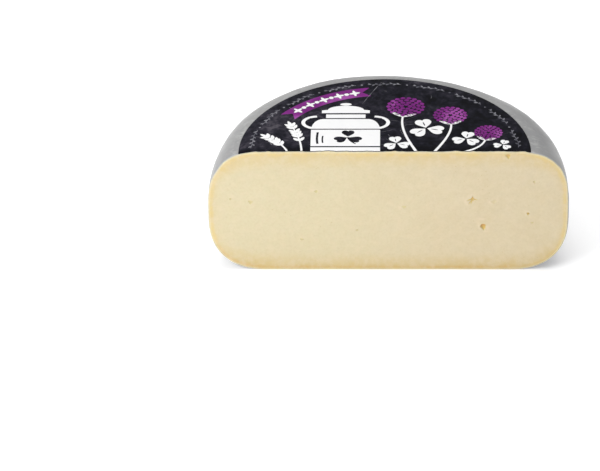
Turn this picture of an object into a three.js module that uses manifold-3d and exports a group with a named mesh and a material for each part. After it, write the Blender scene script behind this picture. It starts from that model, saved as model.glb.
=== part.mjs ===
// Half a wheel of semi-hard buffalo milk cheese, cut straight down, with a printed paper label on top.
// Millimetres, +Z up. The cut face looks along -Y, the wheel's round side along +Y, and the cheese
// rests on z = 0. The origin is the middle of the space that the piece stands on.
import * as THREE from 'three';
import { mergeVertices } from 'three/addons/utils/BufferGeometryUtils.js';
import Module from 'manifold-3d';

// The wheel, before it was cut
const wheelRadius = 125.3;
const wheelHeight = 96.4;
const widestHeight = 43.1; // the wheel sags a little, so it is widest below its middle
const topFlatRadius = 79;
const baseFlatRadius = 83.8;
const topShoulderPower = 3.2; // superellipse powers: 2 is an ellipse, more is squarer
const baseShoulderPower = 2.4;

// How the wheel departs from a true round, as shares of the radius
const backSwell = 0.047; // deeper behind the cut than it is wide beside it
const cornerSwell = 0.012; // fuller halfway between the back and each side
const leanShare = 0.021; // the fuller side is the back left
const skewShare = 0.007; // a weak fourfold wave along the back
const sideWaves = [
  // lobes around the full wheel, turn of phase for each mm of height, start, depth in mm
  [4, 0.0, 0.6, 0.45],
  [7, 0.02, 2.1, 0.35],
  [11, -0.03, 4.0, 0.2],
];

// The paper label
const labelRadius = 100.7;
const labelOffset = -2.7; // stuck on slightly left of the wheel's axis
const labelBack = 1.2; // and slightly behind the cut, which passes beside its middle
const labelThickness = 0.4;
const labelGap = 0.3;

// Fineness of the mesh
const turnSteps = 72;
const shoulderSteps = 13;
const labelRings = [0.5, 0.79, 0.86, 0.93, 1]; // as shares of the reach to the label's edge

// Eyes and tears in the paste, on the cut face: x from the wheel's axis and z, then width, height and
// depth, and how far the eye is turned anticlockwise, in degrees, as one looks at the cut face.
const eyes = [
  { x: 66.2, z: 35.1, wide: 3.9, high: 5.6, deep: 1.8, turn: 8 },
  { x: 73.3, z: 55.6, wide: 3.4, high: 3.4, deep: 0.7, turn: 0 },
  { x: 100.9, z: 71.6, wide: 1.8, high: 2.4, deep: 0.9, turn: 15 },
  { x: 97.0, z: 45.9, wide: 2.3, high: 2.3, deep: 1.2, turn: -20 },
  { x: 100.0, z: 38.7, wide: 2.4, high: 1.8, deep: 0.8, turn: 30 },
  { x: 82.5, z: 92.3, wide: 3.1, high: 4.2, deep: 1.0, turn: 5 },
  { x: 10.9, z: 51.5, wide: 3.1, high: 2.8, deep: 0.7, turn: 0 },
  { x: -50.0, z: 64.0, wide: 2.6, high: 2.8, deep: 0.8, turn: 10 },
  { x: -95.7, z: 55.5, wide: 3.1, high: 3.5, deep: 0.8, turn: 0 },
  { x: -109.6, z: 58.1, wide: 1.8, high: 2.0, deep: 0.7, turn: 0 },
  { x: -60.4, z: 25.1, wide: 3.0, high: 2.2, deep: 0.8, turn: -25 },
  { x: -21.9, z: 32.6, wide: 2.2, high: 2.0, deep: 0.8, turn: 0 },
];
// One tear opened into a star: its arms leave the middle at these angles, each this long.
const star = { x: 58.4, z: 58.3, wide: 1.7, deep: 1.0 };
const starArms = [
  { angle: 84, length: 1.9 },
  { angle: 203, length: 4.5 },
  { angle: 240, length: 5.5 },
  { angle: 256, length: 5.4 },
  { angle: 290, length: 2.3 },
  { angle: 344, length: 3.9 },
];
const eyeSeed = 7;
const eyeRoughness = 0.22;

const wasm = await Module();
wasm.setup();

// Repeatable random numbers from 0 to 1.
function randomFrom(seed) {
  let state = seed;
  return () => {
    state = (state + 0x6d2b79f5) | 0;
    let t = Math.imul(state ^ (state >>> 15), 1 | state);
    t = (t + Math.imul(t ^ (t >>> 7), 61 | t)) ^ t;
    return ((t ^ (t >>> 14)) >>> 0) / 4294967296;
  };
}

// The wheel's outline seen from above, as a share of a true circle's radius.
function planShare(angle) {
  const side = Math.cos(angle);
  const back = Math.sin(angle);
  const lean = leanShare * side * back;
  const corner = cornerSwell * Math.sin(2 * angle) ** 2;
  const skew = skewShare * back * Math.sin(4 * angle);
  return 1 - lean + backSwell * back * back + corner + skew;
}

// Soft dents and swellings of the side, in mm. They fade out on the top and underneath.
function sideWave(angle, z) {
  const fade = Math.sin((Math.PI * z) / wheelHeight) ** 2;
  const atCut = Math.sin(angle);
  let depth = 0;
  for (const [lobes, lean, start, size] of sideWaves) {
    depth += size * Math.sin(lobes * angle + lean * z + start);
  }
  return fade * atCut * depth;
}

// The wheel's profile from the rim of the flat base to the rim of the flat top, as radius and height.
function wheelProfile() {
  const shoulder = (t, flat, power) => flat + (wheelRadius - flat) * Math.cos(t) ** (2 / power);
  const rise = (t, height, power) => height * Math.sin(t) ** (2 / power);
  const levels = [];
  for (let i = shoulderSteps; i >= 0; i--) {
    const t = (i / shoulderSteps) * (Math.PI / 2);
    const z = widestHeight - rise(t, widestHeight, baseShoulderPower);
    levels.push([shoulder(t, baseFlatRadius, baseShoulderPower), z]);
  }
  for (let i = 1; i <= shoulderSteps; i++) {
    const t = (i / shoulderSteps) * (Math.PI / 2);
    const z = widestHeight + rise(t, wheelHeight - widestHeight, topShoulderPower);
    levels.push([shoulder(t, topFlatRadius, topShoulderPower), z]);
  }
  return levels;
}

// Height of the cheese's upper surface over a point of the plan.
function topHeight(x, y) {
  const radius = Math.hypot(x, y) / planShare(Math.atan2(y, x));
  if (radius <= topFlatRadius) return wheelHeight;
  const share = (radius - topFlatRadius) / (wheelRadius - topFlatRadius);
  const drop = (1 - share ** topShoulderPower) ** (1 / topShoulderPower);
  return widestHeight + (wheelHeight - widestHeight) * drop;
}

function geometryOf(points, triangles) {
  const geometry = new THREE.BufferGeometry();
  geometry.setAttribute('position', new THREE.Float32BufferAttribute(points.flat(), 3));
  geometry.setIndex(triangles.flat());
  return geometry;
}

function manifoldOf(geometry) {
  return new wasm.Manifold(
    new wasm.Mesh({
      numProp: 3,
      vertProperties: new Float32Array(geometry.attributes.position.array),
      triVerts: new Uint32Array(geometry.index.array),
    }),
  );
}

function geometryFrom(manifold) {
  const mesh = manifold.getMesh();
  const geometry = new THREE.BufferGeometry();
  geometry.setAttribute('position', new THREE.BufferAttribute(mesh.vertProperties, 3));
  geometry.setIndex(new THREE.BufferAttribute(mesh.triVerts, 1));
  return geometry;
}

// The half wheel with a flat cut face at y = 0. Each level of the profile is a half ring of points
// and one more point on the wheel's axis, which splits the cut face down its middle.
function halfWheel() {
  const levels = wheelProfile();
  const points = [];
  for (const [radius, z] of levels) {
    for (let j = 0; j <= turnSteps; j++) {
      const angle = (j / turnSteps) * Math.PI;
      const reach = radius * planShare(angle) + sideWave(angle, z);
      const back = j % turnSteps === 0 ? 0 : Math.sin(angle);
      points.push([reach * Math.cos(angle), reach * back, z]);
    }
  }
  const axisStart = points.length;
  for (const [, z] of levels) points.push([0, 0, z]);

  const ring = (level, j) => level * (turnSteps + 1) + j;
  const axis = (level) => axisStart + level;
  const last = levels.length - 1;
  const triangles = [];
  for (let level = 0; level < last; level++) {
    for (let j = 0; j < turnSteps; j++) {
      triangles.push([ring(level, j), ring(level, j + 1), ring(level + 1, j + 1)]);
      triangles.push([ring(level, j), ring(level + 1, j + 1), ring(level + 1, j)]);
    }
    triangles.push([axis(level), ring(level, 0), ring(level + 1, 0)]);
    triangles.push([axis(level), ring(level + 1, 0), axis(level + 1)]);
    triangles.push([ring(level, turnSteps), axis(level), axis(level + 1)]);
    triangles.push([ring(level, turnSteps), axis(level + 1), ring(level + 1, turnSteps)]);
  }
  for (let j = 0; j < turnSteps; j++) {
    triangles.push([axis(0), ring(0, j + 1), ring(0, j)]);
    triangles.push([axis(last), ring(last, j), ring(last, j + 1)]);
  }
  return manifoldOf(geometryOf(points, triangles));
}

// An uneven pebble, half of it behind the cut face, that leaves an eye when it is cut away.
function eyePebble({ x, z, wide, high, deep, turn }, random) {
  const geometry = new THREE.IcosahedronGeometry(1, 1);
  geometry.deleteAttribute('normal');
  geometry.deleteAttribute('uv');
  const pebble = mergeVertices(geometry);
  const position = pebble.attributes.position;
  for (let i = 0; i < position.count; i++) {
    const stretch = 1 + eyeRoughness * (2 * random() - 1);
    position.setXYZ(i, position.getX(i) * stretch, position.getY(i) * stretch, position.getZ(i) * stretch);
  }
  pebble.scale(wide / 2, deep, high / 2);
  pebble.rotateY(THREE.MathUtils.degToRad(-turn));
  pebble.translate(x, 0, z);
  return manifoldOf(pebble);
}

// The star's arms are pebbles that reach from its middle.
function starPebbles(random) {
  return starArms.map(({ angle, length }) => {
    const turn = THREE.MathUtils.degToRad(angle);
    const x = star.x + (Math.cos(turn) * length) / 2;
    const z = star.z + (Math.sin(turn) * length) / 2;
    return eyePebble({ x, z, wide: length * 1.3, high: star.wide, deep: star.deep, turn: angle }, random);
  });
}

function cheeseGeometry() {
  const random = randomFrom(eyeSeed);
  const pebbles = [...eyes.map((eye) => eyePebble(eye, random)), ...starPebbles(random)];
  const cheese = pebbles.reduce((left, pebble) => left.subtract(pebble), halfWheel());
  return geometryFrom(cheese);
}

// Distance to the label's edge, from the point of the cut face nearest to the label's middle.
function labelReach(angle) {
  const along = labelBack * Math.sin(angle);
  const across = labelBack * Math.cos(angle);
  return along + Math.sqrt(labelRadius ** 2 - across ** 2);
}

// A thin piece of a disc that follows the cheese's crown, cut off flush with the cut face.
function labelGeometry() {
  const points = [];
  const sides = [labelGap, labelGap + labelThickness];
  const perSide = 1 + labelRings.length * (turnSteps + 1);
  for (const lift of sides) {
    points.push([labelOffset, 0, topHeight(labelOffset, 0) + lift]);
    for (const share of labelRings) {
      for (let j = 0; j <= turnSteps; j++) {
        const angle = (j / turnSteps) * Math.PI;
        const radius = share * labelReach(angle);
        const x = labelOffset + radius * Math.cos(angle);
        const y = j % turnSteps === 0 ? 0 : radius * Math.sin(angle);
        points.push([x, y, topHeight(x, y) + lift]);
      }
    }
  }

  const spot = (side, ring, j) => side * perSide + (ring < 0 ? 0 : 1 + ring * (turnSteps + 1) + j);
  const last = labelRings.length - 1;
  const triangles = [];
  for (let j = 0; j < turnSteps; j++) {
    triangles.push([spot(1, -1, 0), spot(1, 0, j), spot(1, 0, j + 1)]);
    triangles.push([spot(0, -1, 0), spot(0, 0, j + 1), spot(0, 0, j)]);
    for (let ring = 0; ring < last; ring++) {
      triangles.push([spot(1, ring, j), spot(1, ring + 1, j), spot(1, ring + 1, j + 1)]);
      triangles.push([spot(1, ring, j), spot(1, ring + 1, j + 1), spot(1, ring, j + 1)]);
      triangles.push([spot(0, ring, j), spot(0, ring + 1, j + 1), spot(0, ring + 1, j)]);
      triangles.push([spot(0, ring, j), spot(0, ring, j + 1), spot(0, ring + 1, j + 1)]);
    }
    triangles.push([spot(0, last, j), spot(0, last, j + 1), spot(1, last, j + 1)]);
    triangles.push([spot(0, last, j), spot(1, last, j + 1), spot(1, last, j)]);
  }
  for (let ring = -1; ring < last; ring++) {
    triangles.push([spot(0, ring, 0), spot(0, ring + 1, 0), spot(1, ring + 1, 0)]);
    triangles.push([spot(0, ring, 0), spot(1, ring + 1, 0), spot(1, ring, 0)]);
    triangles.push([spot(0, ring + 1, turnSteps), spot(0, ring, turnSteps), spot(1, ring, turnSteps)]);
    triangles.push([spot(0, ring + 1, turnSteps), spot(1, ring, turnSteps), spot(1, ring + 1, turnSteps)]);
  }
  return geometryOf(points, triangles);
}

function namedMesh(name, geometry, color, roughness) {
  const mesh = new THREE.Mesh(geometry, new THREE.MeshStandardMaterial({ color, roughness, metalness: 0 }));
  mesh.name = name;
  return mesh;
}

const half = new THREE.Group();
half.add(namedMesh('cheese', cheeseGeometry(), 0xe3d6b2, 0.55));
half.add(namedMesh('label', labelGeometry(), 0x26252d, 0.45));

// Centre the footprint on the origin.
const space = new THREE.Box3().setFromObject(half);
const middle = space.getCenter(new THREE.Vector3());
half.position.set(-middle.x, -middle.y, 0);

const model = new THREE.Group();
model.add(half);

export default model;
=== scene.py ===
import math
import random

import bpy
import bmesh
import numpy as np
from mathutils import Matrix, Vector, noise
from mathutils.geometry import delaunay_2d_cdt


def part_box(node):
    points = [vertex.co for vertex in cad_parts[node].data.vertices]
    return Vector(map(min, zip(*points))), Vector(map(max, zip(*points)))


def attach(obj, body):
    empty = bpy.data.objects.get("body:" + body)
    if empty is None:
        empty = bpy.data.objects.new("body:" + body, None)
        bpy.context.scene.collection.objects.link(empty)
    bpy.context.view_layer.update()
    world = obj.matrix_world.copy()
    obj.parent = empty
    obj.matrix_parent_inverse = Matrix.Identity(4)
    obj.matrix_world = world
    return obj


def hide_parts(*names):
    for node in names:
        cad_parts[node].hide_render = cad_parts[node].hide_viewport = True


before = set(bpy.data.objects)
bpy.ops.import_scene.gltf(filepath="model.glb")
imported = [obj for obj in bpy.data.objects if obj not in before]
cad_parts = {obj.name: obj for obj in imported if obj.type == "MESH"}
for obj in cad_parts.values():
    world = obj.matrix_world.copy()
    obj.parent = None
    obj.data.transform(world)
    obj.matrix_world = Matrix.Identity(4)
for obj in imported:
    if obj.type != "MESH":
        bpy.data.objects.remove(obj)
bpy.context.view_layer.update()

MM = 0.001

# The wheel and its label, as the solids have them
WHEEL_RADIUS = 125.3
WHEEL_HEIGHT = 96.4
WIDEST_HEIGHT = 43.1
TOP_FLAT = 79.0
BASE_FLAT = 83.8
TOP_POWER = 3.2
BASE_POWER = 2.4
BACK_SWELL = 0.047
CORNER_SWELL = 0.012
LEAN_SHARE = 0.021
SKEW_SHARE = 0.007
# Lobes round the full wheel, turn of phase for each mm of height, start, depth in mm
SIDE_WAVES = [(4, 0.0, 0.6, 0.45), (7, 0.02, 2.1, 0.35), (11, -0.03, 4.0, 0.2)]
LABEL_RADIUS = 100.7
LABEL_OFFSET = -2.7
LABEL_BACK = 1.2

# Where the frame has them
cheese_low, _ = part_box("cheese")
label_low, label_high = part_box("label")
AXIS_X = (label_low.x + label_high.x) / 2 - LABEL_OFFSET * MM
CUT_Y = cheese_low.y

# The coat on the rind, the paper and the ink
COAT = 0.6
PAPER_LIFT = 0.05
PAPER = 0.25
INK_LIFT = 0.02
INK = 0.03
SCRATCH_LIFT = 3 * INK_LIFT + INK
HAIR_GAP = 0.03

# The rim of the cut: its bevel, how far under the coat the paste ends where it is all but flush,
# how far the knife pulled the crown down, and how far that and the coat's tear reach
BEVEL = 0.15
BEVEL_WIDTH = 0.5
FLUSH = 0.05
KNIFE_DRAG = 0.35
KNIFE_REACH = 5
TEAR_REACH = 6
# How far from the coat's torn edge the others end, towards the cut or back from it
LIP_AHEAD = 0.06
PASTE_AHEAD = 0.04
LINING_BACK = 0.02
PAPER_BACK = 0.04

# Fineness of the meshes: steps in mm, and counts
LEVEL_STEP = 1.1
TURN_STEP = 1.7
FACE_STEP = 1.6
PAPER_STEP = 2.0
PRINT_STEP = 1.6
LABEL_EDGE_STEP = 0.8
ROW_SHARE = 0.87  # of the step, between the rows of a staggered grid
HIDDEN_TURNS = 30
EYE_POINTS = 28
STAR_POINTS = 90
SHARP_ANGLE = 50  # degrees
# Extra points of the cut face: bands in mm inside its outline, and rings as shares of a hollow's
# radius. The even grid keeps clear of both.
RIM_BANDS = (0.2, 0.45, 0.9, 1.8, 3.2)
RIM_CLEAR = 4.2
PIT_RINGS = (0.25, 0.5, 0.7, 0.87, 1.07, 1.18, 1.38)
PIT_CLEAR = 1.5
# Points this near become one, and edges this short go, in mm
WELD = 0.0005
SPECK = 0.0001

# Eyes in the paste: x, z, width, height, depth, turn in degrees, and how strong the colour is
EYES = [
    (66.2, 35.1, 4.2, 5.6, 1.3, 8, 1.0),
    (73.3, 55.6, 4.0, 3.6, 0.4, 0, 0.3),
    (100.9, 71.6, 1.8, 2.4, 0.6, 15, 0.5),
    (97.0, 45.9, 2.3, 2.3, 0.9, -20, 0.9),
    (100.0, 38.7, 2.4, 1.8, 0.5, 30, 0.5),
    (82.5, 92.3, 3.5, 4.4, 0.6, 5, 0.85),
    (10.9, 51.5, 3.2, 2.8, 0.4, 0, 0.45),
    (-50.0, 64.0, 2.6, 2.8, 0.5, 10, 0.5),
    (-95.7, 55.5, 3.2, 3.6, 0.5, 0, 0.5),
    (-109.6, 58.1, 1.8, 2.0, 0.4, 0, 0.4),
    (-60.4, 25.1, 3.0, 2.2, 0.5, -25, 0.4),
    (-21.9, 32.6, 2.2, 2.0, 0.5, 0, 0.35),
]
# A tear opened into a star: x, z, width, depth, strength, then its arms' angles, lengths, spreads
STAR = (58.4, 58.3, 2.2, 0.6, 0.95)
STAR_ARMS = [
    (84, 2.1, 0.6),
    (203, 5.0, 0.28),
    (240, 6.3, 0.19),
    (256, 6.3, 0.17),
    (290, 2.6, 0.5),
    (344, 4.3, 0.3),
]
# Pale smears that the knife left beside the eyes: x, z, half length, half width, turn in degrees
FLECKS = [
    (56.7, 60.6, 2.4, 0.8, 40),
    (54.3, 55.0, 2.7, 1.1, -62),
    (70.1, 55.6, 1.9, 0.9, -50),
    (79.7, 91.0, 1.3, 1.0, -20),
    (8.0, 50.8, 1.4, 1.2, 0),
    (69.1, 35.0, 1.9, 0.7, 82),
    (67.9, 31.6, 1.4, 0.7, 10),
    (63.2, 35.8, 2.4, 0.6, -70),
    (64.9, 41.6, 2.2, 0.8, 0),
    (-52.8, 65.0, 1.4, 1.0, 0),
]

# The photograph's width and its camera, whose place is in mm from the wheel's axis and the cut
PHOTO_WIDTH = 600
SENSOR_WIDTH = 36.0
FOCAL_PIXELS = 3330.2
ASIDE_PIXELS = 85.2
SHIFT_PIXELS = (0.95, -0.6)
CAMERA_SIDE = -2.8
CAMERA_BACK = 1970.8
CAMERA_HEIGHT = 1264.3
CAMERA_PITCH = 0.56


def linear(*srgb):
    """A screen colour, 0 to 255, as the linear values that shaders take."""
    shares = [value / 255 for value in srgb]
    return tuple(s / 12.92 if s <= 0.04045 else ((s + 0.055) / 1.055) ** 2.4 for s in shares)


def smooth(value, low, high):
    """0 below low, 1 above high, and an easy slope between them."""
    t = np.clip((value - low) / (high - low), 0, 1)
    return t * t * (3 - 2 * t)


def bell(value, middle, width):
    """1 at middle, fading softly to 0 on both sides."""
    return np.exp(-(((value - middle) / width) ** 2))


def noise_at(points, size, start):
    """Soft noise, -1 to 1, with features of about that size. start picks the pattern."""
    shift = Vector((start, 2.3 * start, -1.7 * start))
    flat = np.asarray(points, float).reshape(-1, 3)
    values = np.array([noise.noise(Vector(p) / size + shift) for p in flat])
    return values.reshape(np.shape(points)[:-1])


def directions(angles):
    """Steps of length one at these angles, in radians."""
    return np.column_stack([np.cos(angles), np.sin(angles)])


def smear(across, up, long, wide, turn):
    """Strength of a soft oval mark, 0 to 1, at offsets from its middle."""
    lean = math.radians(turn)
    ahead = (across * math.cos(lean) + up * math.sin(lean)) / long
    aside = (up * math.cos(lean) - across * math.sin(lean)) / wide
    return np.exp(-(ahead**2) - aside**2)


# The wheel's form


def plan_share(angle):
    """The wheel's outline seen from above, as a share of a true circle's radius."""
    side, back = np.cos(angle), np.sin(angle)
    corner = CORNER_SWELL * np.sin(2 * angle) ** 2
    skew = SKEW_SHARE * back * np.sin(4 * angle)
    return 1 - LEAN_SHARE * side * back + BACK_SWELL * back * back + corner + skew


def side_wave(angle, z):
    """Soft dents and swellings of the side."""
    fade = np.sin(math.pi * z / WHEEL_HEIGHT) ** 2
    waves = 0
    for lobes, lean, start, depth in SIDE_WAVES:
        waves = waves + depth * np.sin(lobes * angle + lean * z + start)
    return fade * np.sin(angle) * waves


def crown_height(x, y):
    """Height of the cheese's upper surface over a point of the plan."""
    radius = np.hypot(x, y) / plan_share(np.arctan2(y, x))
    share = np.clip((radius - TOP_FLAT) / (WHEEL_RADIUS - TOP_FLAT), 0, 1)
    drop = (1 - share**TOP_POWER) ** (1 / TOP_POWER)
    return WIDEST_HEIGHT + (WHEEL_HEIGHT - WIDEST_HEIGHT) * drop


def wheel_profile():
    """Radius and height, evenly spaced from the middle of the base to that of the top, and the
    direction out of the cheese at each point."""
    turn = np.linspace(math.pi / 2, 0, 2000)
    reach, rise = np.cos(turn), np.sin(turn)
    radius = np.concatenate([
        [0],
        BASE_FLAT + (WHEEL_RADIUS - BASE_FLAT) * reach ** (2 / BASE_POWER),
        TOP_FLAT + (WHEEL_RADIUS - TOP_FLAT) * reach[::-1] ** (2 / TOP_POWER),
        [0],
    ])
    z = np.concatenate([
        [0],
        WIDEST_HEIGHT * (1 - rise ** (2 / BASE_POWER)),
        WIDEST_HEIGHT + (WHEEL_HEIGHT - WIDEST_HEIGHT) * rise[::-1] ** (2 / TOP_POWER),
        [WHEEL_HEIGHT],
    ])
    along = np.concatenate([[0], np.cumsum(np.hypot(np.diff(radius), np.diff(z)))])
    marks = np.linspace(0, along[-1], round(along[-1] / LEVEL_STEP) + 1)
    radius, z = np.interp(marks, along, radius), np.interp(marks, along, z)
    out = np.stack([np.gradient(z, marks), -np.gradient(radius, marks)], axis=1)
    out /= np.linalg.norm(out, axis=1)[:, None]
    out[0], out[-1] = (0, -1), (0, 1)
    return radius, z, out


PROFILE = wheel_profile()
BOTH_SIDES = np.array([0.0, math.pi])  # right and left of the cut
HIDDEN_ANGLES = np.linspace(0, math.pi, HIDDEN_TURNS + 1)


CREASE_HEIGHT = 33
CREASE_DEPTH = 0.35


def crease(points):
    """The faint broken groove that the mould's cloth left low on the side."""
    angle = np.arctan2(points[..., 1], points[..., 0])
    middle = CREASE_HEIGHT + 5 * np.sin(2 * angle + 0.8) + 1.5 * np.sin(7 * angle)
    depth = CREASE_DEPTH * smooth(noise_at(points, 35, 8.0), -0.25, 0.25)
    away = points[..., 2] - middle
    return depth * (0.6 * bell(away, 3, 2.5) - bell(away, 0, 1.1))


def knife_drag(y):
    """How far the crown is pulled down at the cut."""
    return KNIFE_DRAG * np.exp(-y / KNIFE_REACH)


def relief(points):
    """How far the rind stands out from the smooth form. Under the label it is only dragged."""
    x, y, z = np.moveaxis(points, -1, 0)
    swell = 0.42 * noise_at(points, 30, 1.0) + 0.16 * noise_at(points, 10, 3.0)
    dapple = 0.05 * noise_at(points, 3.6, 5.0)
    off_cut = 0.1 + 0.9 * smooth(y, 0, 25)
    from_label = np.hypot(x - LABEL_OFFSET, y - LABEL_BACK)
    uncovered = np.where(z > WIDEST_HEIGHT, smooth(from_label, LABEL_RADIUS, LABEL_RADIUS + 8), 1)
    sunk = 0.9 * smooth(-x, 60, 100) * np.exp(-(((z - 82) / 9) ** 2) - y / 25)
    full = 0.7 * smooth(x, 60, 100) * bell(z, 78, 13) * smooth(y, -4, 10)
    height = ((swell + dapple + crease(points)) * off_cut - sunk + full) * uncovered
    height = np.where(z < 1, -0.4 * np.abs(height), height)
    return height - knife_drag(y) * smooth(z, 60, 90)


def skin(angles, inset):
    """The wheel's surface, or one that lies inset under it, evenly or by an amount for each level
    and angle, as a grid of points: levels by angles."""
    radius, z, out = PROFILE
    angle, level_z = np.meshgrid(angles, z)
    reach = radius[:, None] * plan_share(angle) + side_wave(angle, level_z)
    across, back = np.cos(angle), np.sin(angle)
    back[:, np.isclose(angles, math.pi)] = 0
    points = np.stack([reach * across, reach * back, level_z], axis=-1)
    lift = relief(points) - inset
    upward = np.repeat(out[:, 1:], len(angles), 1)
    outward = np.stack([out[:, :1] * across, out[:, :1] * back, upward], axis=-1)
    moved = points + lift[..., None] * outward
    moved[[0, -1], :, :2] = 0
    moved[0, :, 2], moved[-1, :, 2] = moved[0, 0, 2], moved[-1, 0, 2]
    return moved


def cut_chips(x, z):
    """How far back from the cut the knife has torn the coat and the paper."""
    spots = np.stack([x, np.zeros_like(x), z], axis=-1)
    torn = 0.45 + 1.1 * noise_at(spots, 7.5, 11.0) + 0.7 * noise_at(spots, 2.8, 13.0)
    share = 0.5 + 0.5 * smooth(z, 58, 86)
    return np.clip(torn * share, BEVEL + 0.1, 1.7)


def torn_back(points, less=0.0):
    """Surface points moved back from the cut to end along the torn edge."""
    chips = cut_chips(points[..., 0], points[..., 2]) - less
    moved = points.copy()
    moved[..., 1] += chips * np.exp(-points[..., 1] / TEAR_REACH)
    return moved


# Meshes


def add_object(name, data):
    made = bpy.data.objects.new(name, data)
    bpy.context.scene.collection.objects.link(made)
    return made


def grid_faces(rows, columns, start=0, inward=False):
    """Quads over a grid of points, each row being one level."""
    row, column = np.meshgrid(np.arange(rows - 1), np.arange(columns - 1), indexing="ij")
    low = (start + row * columns + column).ravel()
    corners = [low, low + 1, low + columns + 1, low + columns]
    faces = np.stack(corners[::-1] if inward else corners, axis=1)
    return faces.tolist()


def mesh_piece(name, points, faces, values=None):
    """A smooth-shaded object from points in mm. values are numbers kept at each point, by name."""
    placed = np.asarray(points) * MM + (AXIS_X, CUT_Y, 0)
    mesh = bpy.data.meshes.new(name)
    mesh.from_pydata(placed.tolist(), [], faces)
    for key, amounts in (values or {}).items():
        layer = mesh.attributes.new(key, "FLOAT", "POINT")
        layer.data.foreach_set("value", np.asarray(amounts, np.float32).ravel())
    welded = bmesh.new()
    welded.from_mesh(mesh)
    bmesh.ops.remove_doubles(welded, verts=welded.verts, dist=WELD * MM)
    bmesh.ops.dissolve_degenerate(welded, edges=welded.edges, dist=SPECK * MM)
    welded.to_mesh(mesh)
    welded.free()
    mesh.shade_smooth()
    mesh.set_sharp_from_angle(angle=math.radians(SHARP_ANGLE))
    return add_object(name, mesh)


def triangulate(loops, extra, keep):
    """Points, and triangles that turn anticlockwise, from closed loops and extra points of a
    plane. Only triangles whose middles keep accepts are kept."""
    spots, edges = [], []
    for loop in loops:
        first = len(spots)
        spots += [tuple(p) for p in loop]
        edges += [(first + i, first + (i + 1) % len(loop)) for i in range(len(loop))]
    spots += [tuple(p) for p in extra]
    made = delaunay_2d_cdt([Vector(p) for p in spots], edges, [], 0, 1e-5)
    points, triangles = np.array([tuple(p) for p in made[0]]), np.array(made[2])
    corners = points[triangles]
    first, second = corners[:, 1] - corners[:, 0], corners[:, 2] - corners[:, 0]
    area = first[:, 0] * second[:, 1] - first[:, 1] * second[:, 0]
    triangles = np.where(area[:, None] < 0, triangles[:, ::-1], triangles)
    return points, triangles[keep(corners.mean(axis=1)) & (np.abs(area) > 1e-7)]


def staggered_grid(low, high, step):
    """Points spread evenly over a rectangle, with every other row moved by half a step."""
    x, y = np.arange(low[0], high[0], step), np.arange(low[1], high[1], step * ROW_SHARE)
    columns, rows = np.meshgrid(x, y)
    columns[1::2] += step / 2
    return np.column_stack([columns.ravel(), rows.ravel()])


def inside(loop, points):
    """Which points lie inside a closed loop."""
    within = np.zeros(len(points), bool)
    for (x0, y0), (x1, y1) in zip(loop, np.roll(loop, -1, axis=0)):
        if y0 == y1:
            continue
        crosses = (points[:, 1] < y0) != (points[:, 1] < y1)
        within ^= crosses & (points[:, 0] < x0 + (points[:, 1] - y0) * (x1 - x0) / (y1 - y0))
    return within


# The paste, with its cut face


def eye_outline(eye, draw):
    """The uneven rim of an eye: its radius at each angle."""
    _, _, wide, high, _, turn, _ = eye
    starts = [draw(0, 2 * math.pi) for _ in range(3)]

    def radius(angle):
        own = angle - math.radians(turn)
        half_wide = wide / 2 * (1 + 0.45 * np.sin(own))
        oval = 1 / np.hypot(np.cos(own) / half_wide, np.sin(own) / (high / 2))
        lobes = 0.08 * np.sin(2 * own + starts[0]) + 0.07 * np.sin(3 * own + starts[1])
        return oval * (1 + lobes + 0.06 * np.sin(5 * own + starts[2]))

    return radius


def star_outline(angle):
    """The star's rim: a small middle with pointed arms."""
    radius = np.full_like(angle, STAR[2] / 2)
    for arm, length, spread in STAR_ARMS:
        away = np.angle(np.exp(1j * (angle - math.radians(arm))))
        radius = np.maximum(radius, length * np.exp(-np.abs(away / spread) ** 1.6))
    return radius


def pits():
    """Every hollow in the cut face: x, z, depth, strength, rim and number of points."""
    draw = random.Random(5).uniform
    hollows = []
    for eye in EYES:
        x, z, _, _, deep, _, strength = eye
        hollows.append((x, z, deep, strength, eye_outline(eye, draw), EYE_POINTS))
    x, z, _, deep, strength = STAR
    hollows.append((x, z, deep, strength, star_outline, STAR_POINTS))
    return hollows


def pit_depth(points, pit):
    """Depth of a hollow and its share of the way to the rim, at points of the cut face."""
    x, z, deep, _, rim, _ = pit
    offset = points - (x, z)
    share = np.hypot(*offset.T) / rim(np.arctan2(offset[:, 1], offset[:, 0]))
    bowl = np.clip(1 - share**1.7, 0, 1) ** 0.8
    lip = -0.05 * bell(share, 1.14, 0.14) * (share > 1)
    return deep * bowl + lip, share


def paste_inset():
    """How far the paste's rim lies under the rind's surface, at each level, on the right and the
    left: all but flush, but for the middle of the right side."""
    z = PROFILE[1][:, None]
    coated = smooth(z, 24, 42) * smooth(-z, -72, -60) * (1, 0.15)
    return FLUSH + (COAT + HAIR_GAP - FLUSH) * coated


def face_outline(inset):
    """The cut face's outline, or one that lies inset within it, anticlockwise from the base."""
    sides = skin(BOTH_SIDES, paste_inset() + inset)
    right, left = sides[:, 0, [0, 2]], sides[:, 1, [0, 2]]
    return np.concatenate([right, left[-2:0:-1]])


def distance_to(loop, points):
    """Distance from each point to the nearest stretch of a closed loop."""
    ahead = np.roll(loop, -1, axis=0)
    span = ahead - loop
    length = np.maximum((span**2).sum(1), 1e-9)
    nearest = np.full(len(points), np.inf)
    for start, step, square in zip(loop, span, length):
        share = np.clip(((points - start) @ step) / square, 0, 1)
        nearest = np.minimum(nearest, np.hypot(*(points - start - share[:, None] * step).T))
    return nearest


def fleck_amount(points):
    """How much each point of the cut face is smeared pale, 0 to 1."""
    amount = np.zeros(len(points))
    for x, z, long, wide, turn in FLECKS:
        spot = smear(points[:, 0] - x, points[:, 1] - z, long, wide, turn)
        amount = np.maximum(amount, spot)
    return amount


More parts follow.
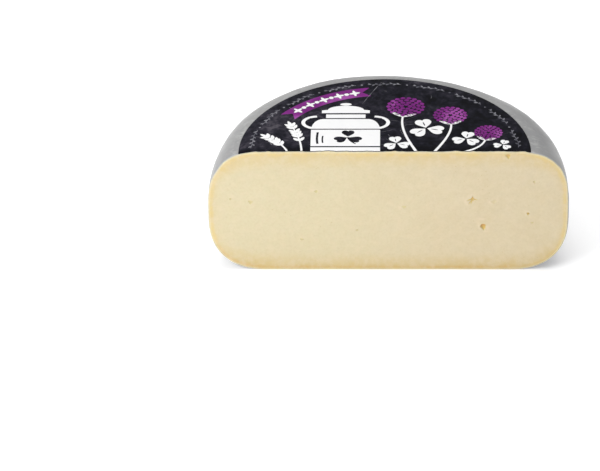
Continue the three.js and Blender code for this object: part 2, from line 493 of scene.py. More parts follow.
def cut_face():
    """The cut face as points, triangles, and numbers kept at its points."""
    outline = face_outline(0)
    bands = [face_outline(inset) for inset in RIM_BANDS]
    hollows = pits()
    rims, rings = [], []
    for x, z, _, _, rim, count in hollows:
        angles = np.arange(count) * 2 * math.pi / count
        ring = directions(angles) * rim(angles)[:, None]
        rims.append(ring + (x, z))
        rings += [ring * share + (x, z) for share in PIT_RINGS]
    wide = outline[:, 0].max()
    grid = staggered_grid((-wide, 0), (wide, WHEEL_HEIGHT), FACE_STEP)
    grid = grid[inside(outline, grid)]
    grid = grid[distance_to(outline, grid) > RIM_CLEAR]
    for pit in hollows:
        grid = grid[pit_depth(grid, pit)[1] > PIT_CLEAR]
    extra = np.concatenate([*bands, *rings, grid])
    loops = [outline, *rims]
    points, triangles = triangulate(loops, extra, lambda middles: inside(outline, middles))
    edge = distance_to(outline, points)
    spots = np.column_stack([points[:, 0], np.zeros(len(points)), points[:, 1]])
    away = smooth(edge, 0, 6)
    depth = away * (0.16 * noise_at(spots, 45, 21.0) + 0.05 * noise_at(spots, 14, 23.0))
    depth += BEVEL * np.clip(1 - edge / BEVEL_WIDTH, 0, 1) ** 2
    hollow, low = np.zeros(len(points)), np.zeros(len(points))
    for pit in hollows:
        _, z, _, strength, _, _ = pit
        own, share = pit_depth(points, pit)
        near = share < 2
        depth[near] += own[near]
        shade = strength * smooth(1 - share[near], -0.12, 0.45)
        hollow[near] = np.maximum(hollow[near], shade)
        low[near] = z - points[near, 1]
    flecks = fleck_amount(points) * (1 - smooth(hollow, 0.05, 0.3))
    values = {
        "rim_mm": edge,
        "rim_share": edge / rim_width(points),
        "eye": hollow,
        "eye_low": low,
        "fleck": flecks,
    }
    return np.column_stack([points[:, 0], depth, points[:, 1]]), triangles, values


def rim_width(points):
    """How far the golden rim reaches, in mm: most at the top and bottom."""
    x, z = points[:, 0], points[:, 1]
    return 11 + 4 * smooth(z, 70, 92) + 4 * smooth(-z, -28, -6) + 2 * smooth(-x, 40, 110)


def make_paste():
    """The paste: its cut face, and a plain shell under the coat."""
    face, triangles, values = cut_face()
    hidden = torn_back(skin(HIDDEN_ANGLES, COAT + HAIR_GAP), PASTE_AHEAD)
    sides = skin(BOTH_SIDES, paste_inset())
    rim = sides.copy()
    rim[..., 1] = BEVEL
    lip = torn_back(sides, LIP_AHEAD)
    shell = np.concatenate([rim[:, :1], lip[:, :1], hidden, lip[:, 1:], rim[:, 1:]], axis=1)
    faces = triangles.tolist() + grid_faces(*shell.shape[:2], start=len(face))
    points = np.concatenate([face, shell.reshape(-1, 3)])
    unseen = np.zeros(shell.shape[:2]).ravel()
    return mesh_piece("cheese_paste", points, faces, {
        name: np.concatenate([amounts, unseen]) for name, amounts in values.items()
    })


# The rind

# Waxy scuffs, which also stand for painted highlights of a lamp on the shoulder: degrees round the
# wheel, height, half length, half width, tilt and strength
SCUFFS_AND_HIGHLIGHTS = [
    (146, 76, 19, 6, -24, 1.0),
    (133, 66, 8, 6, 20, 0.7),
    (62, 79, 22, 6, 10, 0.85),
    (100, 72, 9, 4, -8, 0.6),
    (28, 63, 10, 4, 35, 0.65),
    (112, 27, 12, 4, 12, 0.55),
]
SHOULDER_STRETCH = 1.15  # mm along the rounded side for each mm of height


def scuff_and_highlight_amount(points):
    """How strongly each point of the rind is scuffed and painted with highlight, 0 to 1."""
    angle = np.arctan2(points[..., 1], points[..., 0])
    amount = np.zeros(points.shape[:-1])
    for turn, height, long, wide, tilt, strength in SCUFFS_AND_HIGHLIGHTS:
        across = (angle - math.radians(turn)) * WHEEL_RADIUS
        up = (points[..., 2] - height) * SHOULDER_STRETCH
        amount = np.maximum(amount, strength * smear(across, up, long, wide, tilt))
    return amount


def make_rind():
    """The coat, a closed shell with a torn edge all round the cut."""
    turns = round(math.pi * WHEEL_RADIUS / TURN_STEP)
    outer = torn_back(skin(np.linspace(0, math.pi, turns + 1), 0))
    inner = torn_back(skin(HIDDEN_ANGLES, COAT), -LINING_BACK)
    levels = len(outer)
    start = outer[..., 0].size
    faces = grid_faces(levels, turns + 1)
    faces += grid_faces(levels, HIDDEN_TURNS + 1, start=start, inward=True)
    for level in range(levels - 1):
        out_low, out_high = level * (turns + 1), (level + 1) * (turns + 1)
        in_low = start + level * (HIDDEN_TURNS + 1)
        in_high = in_low + HIDDEN_TURNS + 1
        faces.append([in_low, out_low, out_high, in_high])
        in_ends = (in_low + HIDDEN_TURNS, in_high + HIDDEN_TURNS)
        faces.append([out_low + turns, *in_ends, out_high + turns])
    points = np.concatenate([outer.reshape(-1, 3), inner.reshape(-1, 3)])
    on_top = points[:, 2] > WIDEST_HEIGHT
    label_mm = np.hypot(points[:, 0] - LABEL_OFFSET, points[:, 1] - LABEL_BACK) - LABEL_RADIUS
    values = {"scuff_and_highlight": scuff_and_highlight_amount(points), "label_mm": np.where(on_top, label_mm, 100)}
    return mesh_piece("cheese_rind", points, faces, values)


# The label, in its own plan: x from its middle and y from the cut

CLEAR_OF_CUT = 2.6  # where its grid of points starts, behind the torn edge


def paper_height(flat):
    """Height of the paper's underside over points of the label's plan."""
    x, y = flat[:, 0] + LABEL_OFFSET, flat[:, 1]
    spots = np.column_stack([x, y, np.zeros(len(flat))])
    ripple = 0.5 + 0.5 * noise_at(spots, 16, 31.0)
    cockle = 0.5 + 0.5 * noise_at(spots, 42, 33.0)
    return crown_height(x, y) - knife_drag(y) + PAPER_LIFT + 0.05 * ripple + 0.1 * cockle


def label_edge():
    """The label's outline: its round side, then the torn cut edge from left to right."""
    step = LABEL_EDGE_STEP
    past = math.asin(LABEL_BACK / LABEL_RADIUS)
    turns = np.linspace(-past, math.pi + past, round(math.pi * LABEL_RADIUS / step) + 1)
    reach = LABEL_RADIUS * (1 + 0.001 * np.sin(9 * turns + 1))
    arc = reach[:, None] * directions(turns) + (0, LABEL_BACK)
    across = np.arange(-LABEL_RADIUS + step, LABEL_RADIUS - step / 2, step)
    ends = cut_line(arc[[0, -1], 0])
    arc = arc[arc[:, 1] > ends.max() + 0.2]
    return np.concatenate([arc, np.column_stack([across, cut_line(across)])])


def cut_line(across):
    """Where the torn edge runs in the label's plan."""
    x = across + LABEL_OFFSET
    return cut_chips(x, crown_height(x, np.zeros_like(x))) + PAPER_BACK


def plan_grid():
    """Points spread evenly over the label's plan."""
    low, high = (-LABEL_RADIUS, CLEAR_OF_CUT), (LABEL_RADIUS, LABEL_RADIUS + LABEL_BACK)
    return staggered_grid(low, high, PAPER_STEP)


def label_piece(name, points, triangles, bottom, top):
    """A thin closed piece over triangles in the plan, between heights over the paper's base."""
    used, triangles = np.unique(triangles, return_inverse=True)
    triangles = triangles.reshape(-1, 3)
    flat = points[used]
    count = len(flat)
    base = paper_height(flat)
    sides = {(a, b) for t in triangles.tolist() for a, b in zip(t, t[1:] + t[:1])}
    walls = [[a, b, b + count, a + count] for a, b in sorted(sides) if (b, a) not in sides]
    faces = triangles[:, ::-1].tolist() + (triangles + count).tolist() + walls
    levels = [np.column_stack([flat, base + height]) for height in (bottom, top)]
    return mesh_piece(name, np.concatenate(levels) + (LABEL_OFFSET, 0, 0), faces)


def make_label():
    outline = label_edge()
    grid = plan_grid()
    grid = grid[inside(outline, grid) & (np.hypot(*(grid - (0, LABEL_BACK)).T) < LABEL_RADIUS - 1)]
    points, triangles = triangulate([outline], grid, lambda middles: inside(outline, middles))
    return label_piece("label_sheet", points, triangles, 0, PAPER)


# Shapes for the print, each a closed loop of points in the label's plan


def turned(shape, degrees, place):
    """A shape turned anticlockwise and then moved to place."""
    angle = math.radians(degrees)
    turn = np.array([[math.cos(angle), math.sin(angle)], [-math.sin(angle), math.cos(angle)]])
    return np.asarray(shape) @ turn + place


def point_at(distance, degrees, place=(0, 0)):
    """The point that far from place in a direction."""
    return turned([(distance, 0)], degrees, place)[0]


def oval(half_long, half_wide, degrees, place, count):
    angles = np.arange(count) * 2 * math.pi / count
    return turned(directions(angles) * (half_long, half_wide), degrees, place)


def leaf(length, width, degrees, place):
    """A leaf with two points, from its base at place."""
    along = np.linspace(0, 1, 9)
    half = width / 2 * np.sin(math.pi * along) ** 0.8
    upper = np.column_stack([along * length, half])
    lower = np.column_stack([along * length, -half])[-2:0:-1]
    return turned(np.concatenate([upper, lower]), degrees, place)


def stroke(line, width, end_width=None):
    """A stroke along a line, which may narrow towards its end."""
    line = np.asarray(line, float)
    ahead = np.gradient(line, axis=0)
    ahead /= np.linalg.norm(ahead, axis=1)[:, None]
    aside = np.column_stack([-ahead[:, 1], ahead[:, 0]])
    half = np.linspace(width, width if end_width is None else end_width, len(line))[:, None] / 2
    return np.concatenate([line + aside * half, (line - aside * half)[::-1]])


def bend(start, control, end, count=16):
    """Points along a curve that leans towards control."""
    t = np.linspace(0, 1, count)[:, None]
    start, control, end = (np.asarray(p, float) for p in (start, control, end))
    return (1 - t) ** 2 * start + 2 * t * (1 - t) * control + t**2 * end


def ring_sector(inner, outer, start, end):
    """Part of a ring about the label's middle, with swallow-tailed ends."""
    angles = np.radians(np.linspace(start, end, 40))
    middle = (inner + outer) / 2
    notch = math.radians(4)
    tail, mouth = middle * directions([angles[-1] - notch, angles[0] + notch])
    far, near = outer * directions(angles), inner * directions(angles[::-1])
    return np.concatenate([far, [tail], near, [mouth]]) + (0, LABEL_BACK)


def resampled(loop):
    """A loop with its long stretches divided, to follow the crown."""
    loop = np.asarray(loop, float)
    points = []
    for start, end in zip(loop, np.roll(loop, -1, axis=0)):
        parts = max(1, math.ceil(np.hypot(*(end - start)) / PRINT_STEP))
        points += [start + (end - start) * i / parts for i in range(parts)]
    return np.array(points)


# A milk churn that the cut runs through. Its half widths and heights are before it is scaled.
CHURN_PLACE = (-27, -12)
CHURN_SCALE = (1.2, 1.12)
CHURN_HALF = 20.0
CHURN_NECK = 11.5
CHURN_SHOULDER = (36.0, 50.0)
CHURN_NECK_TOP = 55.5
CHURN_LINES = [(15.4, 16.8), (36.6, 37.8), (49.8, 51.0)]  # black lines across it


def churn():
    """The churn's white shapes, and the black gaps in them."""
    low, high = CHURN_SHOULDER
    turn = np.linspace(0, math.pi / 2, 12)
    shoulder = np.column_stack([
        CHURN_NECK + (CHURN_HALF - CHURN_NECK) * np.cos(turn) ** 0.8,
        low + (high - low) * np.sin(turn),
    ])
    right = np.concatenate([[(CHURN_HALF, -4)], shoulder, [(CHURN_NECK, CHURN_NECK_TOP)]])
    body = np.concatenate([right, right[::-1] * (-1, 1)])
    dome = directions(np.linspace(0, math.pi, 20)) * (10.5, 5.2) + (0, 61.2)
    lid = np.concatenate([[(-14, 60.6), (-14, 57.2), (14, 57.2), (14, 60.6)], dome])
    knob = oval(3.4, 1.6, 0, (0, 68.2), 16)
    handles = []
    for side in (-1, 1):
        line = directions(np.linspace(-1.25, 1.5, 16)) * (8.5, 7.5) + (16.2, 45.5)
        handles.append(stroke(line * (side, 1), 2.2))
    gaps = [[(-21, under), (21, under), (21, over), (-21, over)] for under, over in CHURN_LINES]
    gaps.append(stroke(bend((-16, 19.5), (-16.8, 26), (-16, 33.5)), 1.3))
    gaps.append(stroke(bend((-13, 20.5), (-13.6, 25), (-13, 29)), 0.9))
    for heading in (90, 210, 330):
        gaps.append(leaflet(7.6, 7.2, heading, point_at(0.7, heading, (1.5, 27.5))))
    gaps.append(stroke(bend((1.5, 27.5), (2.4, 22.5), (6.0, 19.4)), 1.4, 0.8))
    groups = ([body, lid, knob, *handles], gaps)
    return [[np.asarray(s) * CHURN_SCALE + CHURN_PLACE for s in group] for group in groups]


# Half a leaflet's outline: two curves, each by its start, two points it leans to, and its end
LEAFLET_CURVES = [
    ((0, 0), (0.3, 0.3), (0.52, 0.64), (0.84, 0.47)),
    ((0.84, 0.47), (1.04, 0.36), (1.04, 0.1), (0.86, 0)),
]


def leaflet(length, width, degrees, place):
    """A heart-shaped leaflet with its point at place."""
    t = np.linspace(0, 1, 9)[:, None]
    side = []
    for curve in LEAFLET_CURVES:
        start, leave, arrive, end = np.array(curve)
        near_start = (1 - t) ** 3 * start + 3 * t * (1 - t) ** 2 * leave
        side.append(near_start + 3 * t**2 * (1 - t) * arrive + t**3 * end)
    upper = np.concatenate([side[0][:-1], side[1]]) * (length, width)
    return turned(np.concatenate([upper, upper[-2:0:-1] * (1, -1)]), degrees, place)


# Clover: each blossom's middle and radius, then where its stem starts on the cut and leans
BLOSSOMS = [
    ((15, 61), 13.5, (23, -3), (10, 28)),
    ((46, 49), 12.0, (33, -3), (47, 22)),
    ((72, 25), 10.0, (44, -3), (66, 0)),
]
# Each leaf's middle, size and turn
TREFOILS = [
    ((29, 31), 11.5, 14),
    ((56.5, 16.5), 9.0, -12),
    ((8.3, 10.5), 8.5, 8),
    ((81.5, 8.5), 6.0, -20),
]
# Rings of petals: where they start, as a share of the radius, and how many there are
PETAL_RINGS = [(0.1, 5), (0.32, 9), (0.55, 14), (0.77, 18)]


def blossom_petals(middle, radius):
    """A round clover head of pointed petals in rings."""
    petals = []
    for ring, (start, count) in enumerate(PETAL_RINGS):
        width = 2 * math.pi * radius * (start + 0.16) / count * 0.86
        for i in range(count):
            turn = 360 * (i + 0.5 * (ring % 2)) / count + 9
            base = point_at(radius * start, turn, middle)
            petals.append(leaf(radius * 0.25, width, turn, base))
    return petals


def trefoil(middle, size, turn):
    """Three leaflets, and the gap along each."""
    leaflets, gaps = [], []
    for third in (0, 120, 240):
        heading = 90 + turn + third
        foot, vein = (point_at(size * share, heading, middle) for share in (0.07, 0.28))
        leaflets.append(leaflet(size, size * 0.98, heading, foot))
        gaps.append(leaf(size * 0.5, size * 0.08, heading, vein))
    return leaflets, gaps


def clover():
    """White stems and leaves with their gaps, and purple petals."""
    white, gaps, purple = [], [], []
    for middle, radius, foot, lean in BLOSSOMS:
        down = np.subtract(lean, middle)
        top = np.array(middle) + down / np.linalg.norm(down) * radius * 1.04
        white.append(stroke(bend(foot, lean, top), 2.0, 1.4))
        purple += blossom_petals(middle, radius)
        for side in (-58, 58):
            heading = math.degrees(math.atan2(down[1], down[0])) + 180 + side
            white.append(leaf(radius * 0.8, 2.6, heading, top + down * 0.01))
    for middle, size, turn in TREFOILS:
        leaflets, veins = trefoil(middle, size, turn)
        white += leaflets
        gaps += veins
    return white, gaps, purple


# Ears of grass beside the churn: where each stem starts, leans and ends, and its pairs of grains
GRASS_EARS = [
    ((-57, -3), (-57, 16), (-65, 35), 6),
    ((-66, -3), (-69, 9), (-81, 19), 5),
]


def meadow_grass():
    shapes = []
    for foot, lean, tip, count in GRASS_EARS:
        line = bend(foot, lean, tip, 24)
        shapes.append(stroke(line, 1.5, 0.9))
        heading = np.degrees(np.arctan2(*np.gradient(line, axis=0).T[::-1]))
        for i in range(count):
            spot = 22 - round(i * 14 / count)
            for side in (-1, 1):
                shapes.append(leaf(6.3, 2.7, heading[spot] + side * 38, line[spot]))
        shapes.append(leaf(8.2, 2.6, heading[-1], line[-2]))
    return shapes


# A plain ribbon on the left: its radii, and the angles that it runs between
BAND_RADII = (75.5, 87.5)
BAND_ANGLES = (97, 146)


def purple_band():
    """The arched band, the openings in it, and the white shapes that fill them."""
    inner, outer = BAND_RADII
    band = ring_sector(inner, outer, *BAND_ANGLES)
    openings, marks = [], []
    middle = (inner + outer) / 2
    for i, angle in enumerate(np.linspace(BAND_ANGLES[0] + 8, BAND_ANGLES[1] - 8, 9)):
        place = point_at(middle, angle, (0, LABEL_BACK))
        if i % 2:
            openings.append(oval(2.0, 2.0, 0, place, 16))
            marks.append(oval(1.7, 1.7, 0, place, 16))
        else:
            for lean in (0, 90):
                openings.append(oval(4.3, 1.5, angle + lean, place, 20))
                marks.append(oval(4.0, 1.2, angle + lean, place, 20))
    return band, openings, marks


# The ring of small marks near the label's edge
RING_RADIUS = 92.3
SPRIGS = 9


def ring_ornament():
    """Leafy sprigs with a dot between each two."""
    shapes = []
    span = 180 / SPRIGS
    for sprig in range(SPRIGS):
        start = span * sprig + 2.6
        turns = np.radians(np.linspace(start, start + span - 5.2, 20))
        reach = RING_RADIUS + 0.5 * np.sin(np.linspace(0, 2 * math.pi, 20))
        line = reach[:, None] * directions(turns) + (0, LABEL_BACK)
        shapes.append(stroke(line, 0.5))
        for i, spot in enumerate(range(1, 19, 2)):
            tilt = math.degrees(turns[spot]) + 90 + (42 if i % 2 else -42)
            shapes.append(leaf(2.9, 1.25, tilt, line[spot]))
        if sprig:
            place = point_at(RING_RADIUS, span * sprig, (0, LABEL_BACK))
            shapes.append(oval(0.8, 0.8, 0, place, 12))
    return shapes


def print_piece(name, shapes, gaps, lift=INK_LIFT):
    """Ink on the label: the shapes, less the gaps, as far as the cut."""
    shapes = [resampled(shape) for shape in shapes]
    gaps = [resampled(gap) for gap in gaps]
    edge = label_edge() * (0.997, 1.0) + (0, 0.12)  # just inside the paper's

    def keep(middles):
        filled = np.any([inside(shape, middles) for shape in shapes], axis=0)
        for gap in gaps:
            filled &= ~inside(gap, middles)
        return filled & inside(edge, middles)

    grid = plan_grid()
    points, triangles = triangulate([*shapes, *gaps, edge], grid[keep(grid)], keep)
    return label_piece(name, points, triangles, PAPER + lift, PAPER + lift + INK)


def scratches():
    """Fine pale scratches in the label's surface, of which two are long."""
    lines = [
        stroke(bend((-15.4, 65.2), (-9, 81), (-2.1, 96.2)), 0.25, 0.55),
        stroke(bend((-85.2, 25.1), (-82, 18), (-77.7, 8.6)), 0.35, 0.55),
    ]
    draw = random.Random(12).uniform
    while len(lines) < 30:
        distance, around = draw(10, 90), draw(5, 175)
        start = point_at(distance, around)
        length, heading = draw(3, 12), draw(0, 360)
        end = point_at(length, heading, start)
        if end[1] > 3 and np.hypot(*end) < LABEL_RADIUS - 3:
            aside = turned([(0, draw(-0.8, 0.8))], heading, (start + end) / 2)[0]
            lines.append(stroke(bend(start, aside, end, 8), 0.1, 0.28))
    return lines


# Materials


class Nodes:
    """The nodes of a material or a world."""

    def __init__(self, owner):
        owner.use_nodes = True
        self.tree = owner.node_tree

    def feed(self, socket, value):
        """Links a node's output to a socket, or sets the socket to a plain value."""
        if isinstance(value, bpy.types.NodeSocket):
            self.tree.links.new(value, socket)
        else:
            socket.default_value = value

    def node(self, kind, inputs=None, **fields):
        """A new shader node. inputs are other nodes' outputs or plain values, by socket."""
        made = self.tree.nodes.new("ShaderNode" + kind)
        for field, value in fields.items():
            setattr(made, field, value)
        for socket, value in (inputs or {}).items():
            self.feed(made.inputs[socket], value)
        return made

    def between(self, source, low, high, start=0.0, end=1.0):
        """source from low to high, eased onto start to end."""
        inputs = {"Value": source, "From Min": low, "From Max": high}
        inputs |= {"To Min": start, "To Max": end}
        return self.node("MapRange", inputs, interpolation_type="SMOOTHSTEP").outputs[0]


class Finish(Nodes):
    """A material whose patterns are in the object's own space, in millimetres."""

    def __init__(self, name, **settings):
        self.material = bpy.data.materials.new(name)
        super().__init__(self.material)
        self.surface = self.tree.nodes["Principled BSDF"]
        for socket, value in settings.items():
            self.surface.inputs[socket.replace("_", " ")].default_value = value
        place = self.node("TexCoord").outputs["Object"]
        scaled = self.node("VectorMath", {0: place, 3: 1 / MM}, operation="SCALE")
        self.space = scaled.outputs[0]

    def noise(self, size, detail=3.0, roughness=0.5, stretch=(1, 1, 1), warp=0.0):
        """Noise from 0 to 1 with features of that size. stretch draws it out along an axis."""
        scale = [1 / (size * share) for share in stretch]
        scaled = self.node("VectorMath", {0: self.space, 1: scale}, operation="MULTIPLY")
        inputs = {"Vector": scaled.outputs[0], "Scale": 1, "Detail": detail}
        inputs |= {"Roughness": roughness, "Distortion": warp}
        return self.node("TexNoise", inputs).outputs[0]

    def cells(self, size):
        """Distance to the nearest of scattered points, in cell sizes."""
        inputs = {"Vector": self.space, "Scale": 1 / size}
        return self.node("TexVoronoi", inputs).outputs["Distance"]

    def axes(self):
        """x from the object's middle, y and z, in mm."""
        return self.node("SeparateXYZ", {0: self.space}).outputs[:3]

    def value(self, name):
        """A number kept at the mesh's points."""
        return self.node("Attribute", attribute_name=name).outputs["Fac"]

    def math(self, operation, first, second=0.0):
        return self.node("Math", {0: first, 1: second}, operation=operation).outputs[0]

    def plus(self, first, second):
        return self.math("ADD", first, second)

    def times(self, first, second):
        return self.math("MULTIPLY", first, second)

    def ramp(self, source, *stops):
        """A colour from (position, screen colour) stops."""
        made = self.node("ValToRGB", {0: source})
        elements = made.color_ramp.elements
        while len(elements) < len(stops):
            elements.new(0.5)
        for element, (position, colour) in zip(elements, stops):
            element.position = position
            element.color = (*linear(*colour), 1)
        return made.outputs[0]

    def mix(self, share, first, second):
        """A colour from first to second, which are nodes' outputs or screen colours."""
        inputs = {0: share, 6: self.colour(first), 7: self.colour(second)}
        return self.node("Mix", inputs, data_type="RGBA").outputs[2]

    @staticmethod
    def colour(value):
        return value if isinstance(value, bpy.types.NodeSocket) else (*linear(*value), 1)

    def bump(self, height, depth, strength, below=None):
        """A normal from a height of 0 to 1 that stands for depth in mm."""
        inputs = {"Height": height, "Distance": depth * MM, "Strength": strength}
        if below is not None:
            inputs["Normal"] = below
        return self.node("Bump", inputs).outputs[0]

    def finish(self, colour, roughness, normal=None):
        """The material, with these on its surface."""
        self.feed(self.surface.inputs["Base Color"], colour)
        self.feed(self.surface.inputs["Roughness"], roughness)
        if normal is not None:
            self.feed(self.surface.inputs["Normal"], normal)
        return self.material


def paste_finish():
    own = Finish("paste", Specular_IOR_Level=0.3, Subsurface_Weight=0.3, Subsurface_Scale=0.003)
    own.surface.inputs["Subsurface Radius"].default_value = (1.0, 0.7, 0.4)
    across, _, height = own.axes()
    broad = own.between(own.noise(30, 4), 0.3, 0.7)
    body = own.mix(broad, (202, 188, 157), (205, 192, 163))
    # Lighter towards the left: painted light, as from the lamp on the left
    painted_left_light = own.mix(own.between(across, -60, 70, 0.5, 0), body, (204, 197, 163))

    # Honey deepens towards the rim, least half way up the sides
    uneven = own.between(own.noise(13, 4, warp=0.4), 0.25, 0.75, -0.5, 0.5)
    share = own.plus(own.value("rim_share"), own.times(uneven, 0.3))
    half_way_up = own.times(own.between(height, 14, 34), own.between(height, 66, 84, 1, 0))
    outward = own.between(own.math("ABSOLUTE", across), 84, 114, 0, 0.4)
    share = own.plus(share, own.times(half_way_up, outward))
    raised = own.between(height, 4, 26)
    honey = own.mix(raised, (197, 173, 114), (205, 182, 127))
    tinted = own.mix(own.between(share, -0.35, 1.15, 1, 0), painted_left_light, honey)

    # A patchy golden strip along the rim, and a pale line at its very edge that is a painted
    # highlight
    edge = own.plus(own.value("rim_mm"), own.times(uneven, 0.8))
    gold = own.mix(raised, (199, 168, 108), (212, 189, 130))
    patchy = own.between(own.noise(24, 3), 0.35, 0.65, 0.45, 0.9)
    strip = own.times(own.between(edge, 1.9, 4.4, 1, 0), patchy)
    rimmed = own.mix(strip, tinted, gold)
    outermost = own.between(own.value("rim_mm"), 0.3, 1.8, 0.95, 0)
    painted_rim_highlight = own.mix(outermost, rimmed, (216, 203, 166))

    # Grain, clouds, specks, and the smears that the knife left
    grainy = own.between(own.noise(1.7, 3), 0.35, 0.75, 0, 0.36)
    grain = own.mix(grainy, painted_rim_highlight, (194, 178, 142))
    cloudy = own.between(own.noise(5, 4, 0.6), 0.4, 0.7, 0, 0.4)
    clouds = own.mix(cloudy, grain, (212, 198, 170))
    crowded = own.between(own.noise(36, 2), 0.4, 0.65, 0.1, 0.42)
    specks = own.times(own.between(own.cells(5.2), 0.05, 0.11, 1, 0), crowded)
    specked = own.mix(specks, clouds, (180, 160, 118))
    flecked = own.mix(own.times(own.value("fleck"), 0.75), specked, (216, 200, 175))

    # Eyes, amber where they are strong, and darker at the top of each hollow as painted shade
    wander = own.between(own.noise(1.6, 2), 0.3, 0.7, -0.7, 0.7)
    lower = own.between(own.plus(own.value("eye_low"), wander), -1.6, 1.2)
    amber_with_painted_shade = own.mix(lower, (196, 148, 80), (206, 178, 98))
    hollow = own.value("eye")
    toned = own.mix(own.between(hollow, 0.45, 0.85), (198, 184, 122), amber_with_painted_shade)
    eyes = own.mix(own.times(hollow, 0.92), flecked, toned)

    roughness = own.between(own.noise(5, 3), 0.3, 0.7, 0.46, 0.58)
    soft = own.bump(own.noise(0.9, 4), 0.025, 0.6)
    lined = own.bump(own.noise(0.7, 2, stretch=(1, 1, 22)), 0.01, 0.6, soft)
    pinholes = own.bump(own.between(own.cells(6.5), 0.02, 0.09), 0.2, 0.6, lined)
    return own.finish(eyes, roughness, pinholes)


def rind_finish():
    own = Finish("rind", Specular_IOR_Level=0.4)
    _, back, height = own.axes()
    broad = own.times(own.noise(38, 5, warp=0.3), 0.7)
    base = own.ramp(
        own.plus(broad, own.times(own.noise(4.5, 5, 0.55), 0.3)),
        (0.3, (131, 131, 132)),
        (0.5, (141, 141, 141)),
        (0.68, (151, 151, 150)),
    )

    # Streaks, pale smudges beside the label, the darker side and its clouds
    streaks = own.between(own.noise(3.0, 4, stretch=(1, 1, 5), warp=0.8), 0.52, 0.7, 0, 0.16)
    streaked = own.mix(streaks, base, (168, 168, 167))
    near_label = own.between(own.value("label_mm"), 2, 13, 0.4, 0)
    smudges = own.between(own.noise(6, 5, 0.6, warp=1.2), 0.5, 0.66)
    smudged = own.mix(own.times(near_label, smudges), streaked, (186, 186, 184))
    shaded = own.mix(own.between(height, 34, 84, 0.72, 0), smudged, (96, 96, 97))
    clouds = own.between(own.noise(26, 4, warp=0.6), 0.42, 0.7, 0, 0.22)
    clouded = own.mix(clouds, shaded, (160, 160, 159))

    # Ragged waxy scuffs with fine cracks in them, pale also as a painted highlight of a lamp on the
    # shoulder
    ragged = own.between(own.noise(6, 6, 0.65, warp=0.5), 0.25, 0.75, -0.4, 0.3)
    scuff_and_highlight_mask = own.plus(own.value("scuff_and_highlight"), ragged)
    scuffed_and_highlighted = own.mix(own.times(own.between(scuff_and_highlight_mask, 0.2, 0.7), 0.55), clouded, (178, 178, 177))
    crinkles = own.math("ABSOLUTE", own.math("SUBTRACT", own.noise(7, 5, 0.55, warp=1.3), 0.5))
    scuff_and_highlight_cracks = own.times(own.between(scuff_and_highlight_mask, 0.3, 0.8), own.between(crinkles, 0.015, 0.075))
    waxy_and_highlighted = own.mix(own.times(scuff_and_highlight_cracks, 0.34), scuffed_and_highlighted, (214, 214, 213))

    # The pale torn edge at the cut, and pits
    torn = own.between(back, CUT_Y / MM + 0.4, CUT_Y / MM + 2.2, 0.6, 0)
    edged = own.mix(torn, waxy_and_highlighted, (180, 180, 181))
    from_pit = own.cells(9)
    pitted = own.mix(own.between(from_pit, 0.03, 0.06, 0.4, 0), edged, (84, 84, 85))

    shine = own.between(own.noise(11, 4), 0.3, 0.7, 0.34, 0.46)
    roughness = own.plus(shine, own.times(scuff_and_highlight_cracks, 0.08))
    peel = own.bump(own.noise(1.5, 4), 0.05, 0.6)
    wax = own.bump(scuff_and_highlight_cracks, 0.12, 0.8, peel)
    holes = own.bump(own.between(from_pit, 0.01, 0.08), 0.2, 0.7, wax)
    return own.finish(pitted, roughness, holes)


def paper_surface(own):
    """Roughness and relief that the paper and its print share."""
    roughness = own.between(own.noise(7, 4), 0.3, 0.7, 0.42, 0.58)
    normal = own.bump(own.noise(2.2, 4), 0.05, 0.6)
    return roughness, normal


def label_finish():
    own = Finish("label", Specular_IOR_Level=0.08)
    across, back, _ = own.axes()
    broad = own.times(own.noise(15, 5, 0.6, warp=0.8), 0.55)
    blotches = own.plus(broad, own.times(own.noise(4, 5, 0.65, warp=0.5), 0.45))
    # Darker to the right and within 9 mm of the cut: painted sheen, brightest at the left and back
    # where the light falls
    patchy_tone = own.plus(blotches, own.between(across, -110, 60, 0.005, -0.085))
    patchy_tone = own.plus(patchy_tone, own.between(back, CUT_Y / MM, CUT_Y / MM + 9, -0.12, 0))
    base = own.ramp(
        patchy_tone,
        (0.34, (2, 2, 7)),
        (0.44, (16, 16, 25)),
        (0.54, (38, 36, 45)),
        (0.64, (72, 69, 76)),
    )
    return own.finish(base, *paper_surface(own))


def white_finish():
    own = Finish("print_white", Specular_IOR_Level=0.2)
    patchy_tone = own.between(own.noise(6, 5), 0.45, 0.75, 0, 0.3)
    base = own.mix(patchy_tone, (221, 221, 221), (209, 209, 211))
    return own.finish(base, *paper_surface(own))


def purple_finish():
    own = Finish("print_purple", Specular_IOR_Level=0.2)
    # Patches of lighter and darker purple, for wear and for painted sheen
    base = own.ramp(
        own.noise(22, 4, warp=0.4),
        (0.36, (99, 15, 101)),
        (0.5, (114, 28, 115)),
        (0.62, (142, 66, 143)),
    )
    return own.finish(base, *paper_surface(own))


def grey_finish(name, dark, light):
    own = Finish(name, Specular_IOR_Level=0.15)
    base = own.ramp(own.noise(5, 4), (0.38, dark), (0.6, light))
    return own.finish(base, *paper_surface(own))


def dress(piece, material, slot, *replaced):
    """Gives a piece its material and body, and hides the solid that it replaces. slot is not used.
    """
    piece.data.materials.append(material)
    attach(piece, "root")
    if replaced:
        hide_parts(*replaced)


# The object

dress(make_paste(), paste_finish(), "paste", "cheese")
dress(make_rind(), rind_finish(), "rind")
dress(make_label(), label_finish(), "label", "label")

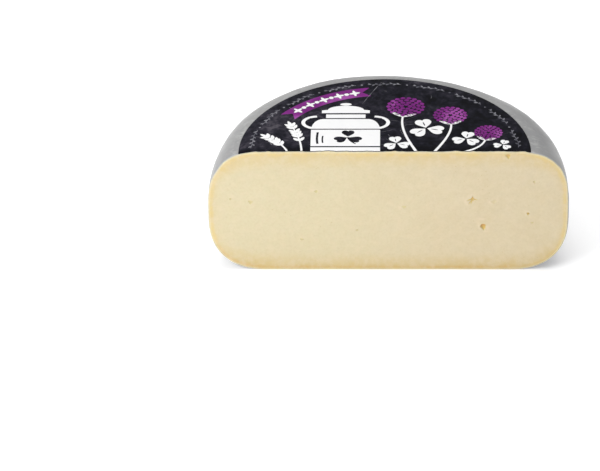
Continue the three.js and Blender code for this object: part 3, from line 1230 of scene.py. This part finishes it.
churn_white, churn_gaps = churn()
clover_white, clover_gaps, clover_purple = clover()
band, band_openings, band_marks = purple_band()
white_shapes = churn_white + clover_white + meadow_grass() + band_marks
white = print_piece("label_print_white", white_shapes, churn_gaps + clover_gaps)
dress(white, white_finish(), "print_white")
purple = print_piece("label_print_purple", [band, *clover_purple], band_openings)
dress(purple, purple_finish(), "print_purple")
ring = print_piece("label_print_ring", ring_ornament(), [])
dress(ring, grey_finish("print_grey", (74, 74, 82), (126, 126, 132)), "print_grey")
scratched = print_piece("label_scratches", scratches(), white_shapes, SCRATCH_LIFT)
dress(scratched, grey_finish("scratches", (58, 57, 64), (118, 117, 122)), "print_grey")

# Floor, light and camera


def make_floor():
    reach = 9.0
    mesh = bpy.data.meshes.new("floor")
    corners = [(-reach, -reach, 0), (reach, -reach, 0), (reach, reach, 0), (-reach, reach, 0)]
    mesh.from_pydata(corners, [], [[0, 1, 2, 3]])
    floor = add_object("floor", mesh)
    own = Finish("floor", Specular_IOR_Level=0.1)
    paper = own.mix(own.noise(60, 3), (246, 246, 246), (243, 243, 244))
    own.surface.inputs["Emission Color"].default_value = (1, 1, 1, 1)
    own.surface.inputs["Emission Strength"].default_value = 0.2
    mesh.materials.append(own.finish(paper, own.between(own.noise(30, 2), 0.3, 0.7, 0.6, 0.7)))


def soft_light(name, place, size, watts):
    """A rectangular lamp that shines on the cheese."""
    light = bpy.data.lights.new(name, "AREA")
    light.shape = "RECTANGLE"
    light.size, light.size_y = size
    light.energy = watts
    lamp = add_object(name, light)
    lamp.location = place
    lamp.rotation_euler = (Vector((0, 0, 0.05)) - Vector(place)).to_track_quat("-Z", "Y").to_euler()


def make_room():
    """Light all round, most from the front left, and three soft lamps."""
    world = bpy.data.worlds.new("studio")
    own = Nodes(world)
    where = own.node("TexCoord").outputs["Generated"]
    brightest = Vector((-0.45, -0.75, 0.5)).normalized()
    facing = own.node("VectorMath", {0: where, 1: brightest}, operation="DOT_PRODUCT")
    background = own.tree.nodes["Background"].inputs
    background["Color"].default_value = (1, 1, 1, 1)
    own.feed(background["Strength"], own.between(facing.outputs["Value"], -1, 1, 0.34, 0.56))
    bpy.context.scene.world = world
    soft_light("key", (-0.7, -0.55, 0.65), (0.7, 0.7), 8.0)
    soft_light("fill", (1.7, -1.5, 1.0), (1.4, 1.4), 2.0)
    soft_light("top", (0.1, 0.3, 2.0), (1.7, 1.5), 22.5)
    bpy.context.scene.view_settings.view_transform = "Standard"


def make_camera():
    camera = bpy.data.cameras.new("camera")
    camera.sensor_width = SENSOR_WIDTH
    camera.lens = FOCAL_PIXELS / PHOTO_WIDTH * SENSOR_WIDTH
    camera.clip_end = 50
    camera.shift_x, camera.shift_y = (pixels / PHOTO_WIDTH for pixels in SHIFT_PIXELS)
    aside = math.atan(ASIDE_PIXELS / FOCAL_PIXELS)
    tilt = Matrix.Rotation(math.pi / 2 - CAMERA_PITCH, 4, "X") @ Matrix.Rotation(aside, 4, "Y")
    place = (AXIS_X + CAMERA_SIDE * MM, CUT_Y - CAMERA_BACK * MM, CAMERA_HEIGHT * MM)
    holder = add_object("camera", camera)
    holder.matrix_world = Matrix.Translation(place) @ tilt
    bpy.context.scene.camera = holder


make_floor()
make_room()
make_camera()
